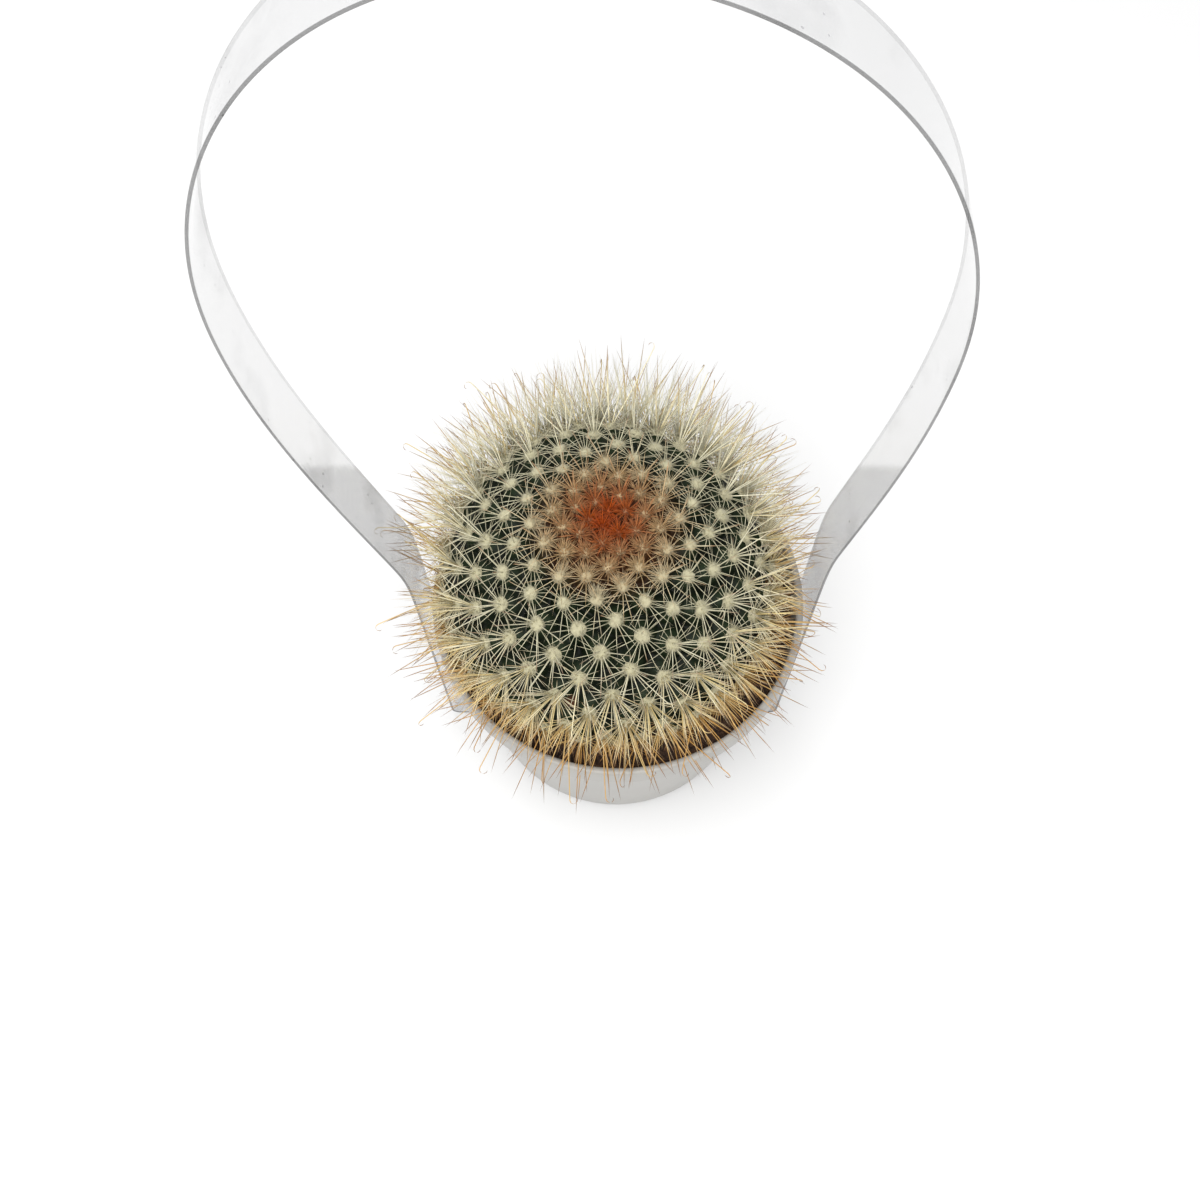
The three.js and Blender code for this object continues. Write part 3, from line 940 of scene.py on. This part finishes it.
def makeCentrals():
    dice = random.Random(centrals["seed"])
    bed = MeshBed()
    for index, site in enumerate(tubercles):
        onTop = "top" if site["angle"] < centrals["sideStart"] else "side"
        kind = "young" if site["age"] < centrals["youngAge"] else onTop
        count, length, lifts = centrals[kind]
        age = min(1.0, site["age"] + (centrals["ageing"] if kind == "side" else 0.0))
        start = dice.uniform(0, 1)
        for spoke in range(count):
            turn = fullTurn * (spoke + start + centrals["jitter"] * dice.uniform(-1, 1)) / count
            flat = outward(site, turn)
            way = (flat + site["normal"] * dice.uniform(*lifts)).normalized()
            root = site["tip"] + flat * centrals["seat"] * site["size"]
            sag = Vector((0, 0, -1)) * dice.uniform(*centrals["sag"])
            sag += site["across"] * dice.uniform(*centrals["bend"])
            hook = None
            if kind == "side" and (index + spoke) % centrals["hookEvery"] == 0:
                aside = Vector((dice.uniform(-1, 1), dice.uniform(-1, 1), dice.uniform(-1, 0)))
                hook = way.cross(aside).normalized()
            grown = length * dice.uniform(*centrals["spread"]) * (1 + centrals["backShare"] * backShare(site))
            path = clearPath(site, root, way, grown, sag, centrals["segments"], hook)
            if path:
                bed.addNeedle(path, centrals, age, dice.random())
    makePlantPiece("centralSpines", bed, spineMaterial("tawnySpine", tips=centrals["tipColours"]))


# side bristles: the longer, more upright spines that hide the flesh round the plant's sides

bristles = {
    "count": 46,
    "crowd": 0.52,
    "lowCrowd": 0.28,
    "backCrowd": 4.6,
    "length": 13.5,
    "lowLength": 0.6,
    "spread": (0.65, 1.1),
    "radius": 0.12,
    "tipRadius": 0.048,
    "sideWidth": 0.25,
    "lowStart": 1.4,
    "lift": (0.6, 3.4),
    "seat": 0.6,
    "sunk": 0.1,
    "bend": (-0.05, 0.05),
    "segments": 2,
    "thinned": 0.8,  # share left out where strap or rim is in the way, so that no bundles form
    "rootColours": [(0.0, (0.80, 0.77, 0.60)), (0.55, (0.86, 0.83, 0.65)), (0.72, (0.84, 0.76, 0.50)),
                    (0.86, (0.80, 0.63, 0.33)), (1.0, (0.58, 0.32, 0.09))],
    "seed": 7,
}


def makeBristles():
    dice = random.Random(bristles["seed"])
    bed = MeshBed()
    for site in tubercles:
        side = clamp((site["angle"] - spines["sideAngle"]) / bristles["sideWidth"])
        low, back = site["angle"] > bristles["lowStart"], backShare(site)
        crowd = (bristles["lowCrowd"] if low else bristles["crowd"]) * (1 + bristles["backCrowd"] * back)
        shorter = bristles["lowLength"] if low else 1.0
        for spoke in range(int(bristles["count"] * side * crowd)):
            flat = outward(site, dice.uniform(0, fullTurn))
            way = (flat + site["normal"] * dice.uniform(*bristles["lift"])).normalized()
            root = site["tip"] + flat * bristles["seat"] - site["normal"] * bristles["sunk"]
            sag = site["across"] * dice.uniform(*bristles["bend"])
            length = bristles["length"] * dice.uniform(*bristles["spread"]) * shorter * (1 + back)
            free = spinePath(root, way, length, sag, bristles["segments"])
            if dice.random() < bristles["thinned"] and not isClear(free):
                continue
            path = clearPath(site, root, way, length, sag, bristles["segments"])
            if path:
                # far-side bristles take a younger, paler colour: a painted glow for the backlit spines
                bed.addNeedle(path, bristles, site["age"] * (1 - back), dice.random())
    makePlantPiece("sideBristles", bed, spineMaterial("strawSpine", roots=bristles["rootColours"]))


# crown down: fine young spines and wool that close over the growing point

crownDown = {
    "hairs": 135,
    "length": 3.2,
    "spread": (0.6, 1.3),
    "radius": 0.085,
    "tipRadius": 0.03,
    "oldest": 0.3,  # age of the last tubercles that have it
    "thinning": 0.35,
    "seat": (0.1, 1.5),
    "sunk": 0.4,
    "out": (0.2, 1.2),
    "up": (0.2, 1.1),
    "inward": 0.06,
    "focusHeight": 3,  # above the crown, where the hairs lean to
    "curl": 0.25,
    "segments": 3,
    "seed": 8,
}


def makeCrownDown():
    dice = random.Random(crownDown["seed"])
    bed = MeshBed()
    focus = plant["centre"] + Vector((0, 0, plant["upper"] + crownDown["focusHeight"]))
    for site in tubercles:
        if site["age"] > crownDown["oldest"]:
            continue
        tip, normal = site["tip"], site["normal"]
        inward = (focus - tip) * crownDown["inward"]
        share = 1 - crownDown["thinning"] * site["age"] / crownDown["oldest"]
        for hair in range(int(crownDown["hairs"] * share)):
            flat = outward(site, dice.uniform(0, fullTurn))
            root = tip + flat * dice.uniform(*crownDown["seat"]) * site["size"] - normal * crownDown["sunk"]
            way = flat * dice.uniform(*crownDown["out"]) + normal * dice.uniform(*crownDown["up"]) + inward
            sag = Vector((dice.uniform(-1, 1), dice.uniform(-1, 1), dice.uniform(-1, 0.3)))
            length = crownDown["length"] * dice.uniform(*crownDown["spread"])
            path = spinePath(root, way.normalized(), length, sag * crownDown["curl"], crownDown["segments"])
            bed.addNeedle(path, crownDown, site["age"], dice.random())
    makePlantPiece("crownDown", bed, spineMaterial("youngSpine"))


# soil

soil = {
    "top": plant["soilTop"],
    "highest": 1.5,  # no lump stands higher above the top
    "lump": 1.1,
    "lumpScale": 0.35,
    "lumpOctaves": 5,
    "unevenness": 0.5,
    "unevenScale": 1.7,
    "edgeRadius": 41.15,
    "innerRadius": 27.0,
    "hollow": 4.0,  # dips this much under the plant
    "shoulder": (38.5, 40.0),
    "bottom": 3.0,
    "bottomRadius": 30.5,
    "rings": 46,
    "segments": 320,
    "colours": [(0.32, (0.010, 0.006, 0.004)), (0.52, (0.055, 0.028, 0.016)), (0.78, (0.16, 0.090, 0.050))],
    "roughness": 0.92,
    "clods": {"Scale": 700.0, "Detail": 6.0},
    "patches": {"Scale": 120.0, "Strength": 0.3},
    "bump": {"Strength": 0.8, "Distance": 0.0006},
    "grain": {"Grain Scale": 3500.0, "Lump Scale": 900.0, "Lump Share": 0.5},
}


def soilMaterial():
    material, tree, shader = newMaterial("peatSoil", Roughness=soil["roughness"])
    place = addNode(tree, "TexCoord").outputs["Object"]
    clods = addNode(tree, "TexNoise", Vector=place, **soil["clods"])
    addColour(tree, shader, addRamp(tree, clods.outputs["Fac"], soil["colours"]), soil["patches"])
    addBump(tree, shader, soil["bump"], soil["grain"])
    return material


def soilHeight(x, y):
    spot = Vector((x, y, 0.0))
    rough = noise.fractal(spot * soil["lumpScale"], 1.0, 2.0, soil["lumpOctaves"])
    fine = noise.noise(spot * soil["unevenScale"])
    return soil["top"] + soil["lump"] * rough + soil["unevenness"] * fine


def makeSoil(material):
    rings, segments, top = soil["rings"], soil["segments"], soil["top"]
    points = [(0.0, 0.0, top - soil["hollow"])]
    for ring in range(rings + 1):
        reach = soil["innerRadius"] + (soil["edgeRadius"] - soil["innerRadius"]) * ring / rings
        points += [(x, y, min(soilHeight(x, y), top + soil["highest"])) for x, y in ringOf(reach, segments)]
    for radius, height in (soil["shoulder"], (soil["bottomRadius"], soil["bottom"]), (0, soil["bottom"])):
        points += [(x, y, height) for x, y in ringOf(radius, segments)]
    makePiece("peatSoil", points, shellFaces(rings + 3, segments), material, "soil")


# crumbs and root fibres that lie on the soil

crumbs = {
    "count": 620,
    "size": (0.35, 0.8),
    "bigEvery": 9,
    "bigger": 0.6,
    "nearest": 31.0,
    "edgeGap": 0.2,
    "lift": 0.3,
    "squash": (0.55, 0.9),
    "lumps": (0.7, 1.15),
    "rings": 4,
    "sides": 7,
    "seed": 9,
}
fibres = {
    "count": 90,
    "length": (1.5, 3.2),
    "nearest": 33.0,
    "edgeGap": 3.0,
    "lift": 0.25,
    "bend": 0.5,
    "waves": 3,
    "steps": 3,
    "radius": 0.14,
    "tipRadius": 0.05,
}


def addCrumb(bed, dice, extra):
    rings, sides, first = crumbs["rings"], crumbs["sides"], len(bed.points)
    turn = dice.uniform(0, fullTurn)
    size = dice.uniform(*crumbs["size"]) + extra
    reach = dice.uniform(crumbs["nearest"], soil["edgeRadius"] - crumbs["edgeGap"] - size)
    x, y = reach * math.cos(turn), reach * math.sin(turn)
    middle = Vector((x, y, soilHeight(x, y) + size * crumbs["lift"]))
    squash = dice.uniform(*crumbs["squash"])
    pole = Vector((0, 0, size * squash))
    bed.points.append(middle - pole)
    for ring in range(1, rings):
        tilt = math.pi * ring / rings
        for side in range(sides):
            around = fullTurn * (side + 0.5 * ring) / sides
            spread = size * dice.uniform(*crumbs["lumps"])
            bed.points.append(middle + Vector((math.sin(tilt) * math.cos(around) * spread,
                                               math.sin(tilt) * math.sin(around) * spread,
                                               -math.cos(tilt) * spread * squash)))
    bed.points.append(middle + pole)
    bed.faces += [(first, first + 1 + (side + 1) % sides, first + 1 + side) for side in range(sides)]
    bed.skin(first + 1, sides, rings - 1)


def addFibre(bed, dice):
    turn = dice.uniform(0, fullTurn)
    reach = dice.uniform(fibres["nearest"], soil["edgeRadius"] - fibres["edgeGap"])
    heading = dice.uniform(0, fullTurn)
    length = dice.uniform(*fibres["length"])
    path = []
    for step in range(fibres["steps"] + 1):
        share = step / fibres["steps"] - 0.5
        bend = fibres["bend"] * math.sin(fibres["waves"] * share + heading)
        x = reach * math.cos(turn) + math.cos(heading) * length * share - math.sin(heading) * bend
        y = reach * math.sin(turn) + math.sin(heading) * length * share + math.cos(heading) * bend
        path.append(Vector((x, y, soilHeight(x, y) + fibres["lift"])))
    bed.addNeedle(path, fibres, 0.5, dice.random())


def makeCrumbs(material):
    dice = random.Random(crumbs["seed"])
    bed = MeshBed()
    for crumb in range(crumbs["count"]):
        addCrumb(bed, dice, crumbs["bigger"] if crumb % crumbs["bigEvery"] == 0 else 0.0)
    for fibre in range(fibres["count"]):
        addFibre(bed, dice)
    makePiece("peatCrumbs", bed.points, bed.faces, material, "soil", smooth=False)


makeFlesh()
makeWool()
makeRadials()
makeCentrals()
makeBristles()
makeCrownDown()
peat = soilMaterial()
makeSoil(peat)
makeCrumbs(peat)
makePot()
makeStrap()


# studio: pale floor, soft light from the ceiling and from a window behind, camera as in the photograph

studio = {
    "floorSize": 3.0,  # metres, like the lights' places and sizes
    "floorColour": (0.75, 0.75, 0.75),
    "floorRoughness": 0.6,
    "skyColour": (1.0, 1.0, 1.0),
    "skyStrength": 0.62,
    "lights": {"backWindow": {"place": (-0.35, 0.70, 1.0), "size": 0.8, "power": 2.2},
               "ceilingLight": {"place": (-0.12, -0.55, 1.3), "size": 1.3, "power": 21.0}},
    "lightAim": (0, 0, 0.05),
    "cameraPlace": (-4.2, -129.1, 335.9),
    "cameraElevation": 65.0,
    "focal": 1300.0 / 1200.0,  # focal length over the width of the frame
    "sensor": 36.0,
    "nearest": 0.01,
}


def makeFloor():
    mesh = bpy.data.meshes.new("floor")
    size = studio["floorSize"]
    mesh.from_pydata([(-size, -size, 0), (size, -size, 0), (size, size, 0), (-size, size, 0)], [],
                     [(0, 1, 2, 3)])
    material, tree, shader = newMaterial("paleFloor", Roughness=studio["floorRoughness"],
                                         Base_Color=studio["floorColour"])
    mesh.materials.append(material)
    addObject("floor", mesh)


def addSoftLight(name, place, size, power):
    light = bpy.data.lights.new(name, "AREA")
    light.shape = "DISK"
    light.size = size
    light.energy = power
    lamp = addObject(name, light)
    lamp.location = Vector(place)
    lamp.rotation_euler = (Vector(studio["lightAim"]) - Vector(place)).to_track_quat("-Z", "Y").to_euler()


def makeSky():
    world = bpy.data.worlds.new("studioSky")
    world.use_nodes = True
    setInputs(world.node_tree.nodes["Background"], Color=studio["skyColour"], Strength=studio["skyStrength"])
    bpy.context.scene.world = world


def makeCamera():
    data = bpy.data.cameras.new("photoCamera")
    data.sensor_fit = "HORIZONTAL"
    data.sensor_width = studio["sensor"]
    data.lens = studio["sensor"] * studio["focal"]
    data.clip_start = studio["nearest"]
    camera = addObject("photoCamera", data)
    camera.location = [value * mm for value in studio["cameraPlace"]]
    camera.rotation_euler = (math.radians(90 - studio["cameraElevation"]), 0, 0)
    bpy.context.scene.camera = camera


makeFloor()
makeSky()
for lightName, light in studio["lights"].items():
    addSoftLight(lightName, **light)
makeCamera()
bpy.context.scene.view_settings.view_transform = "Standard"
print("studio ready")
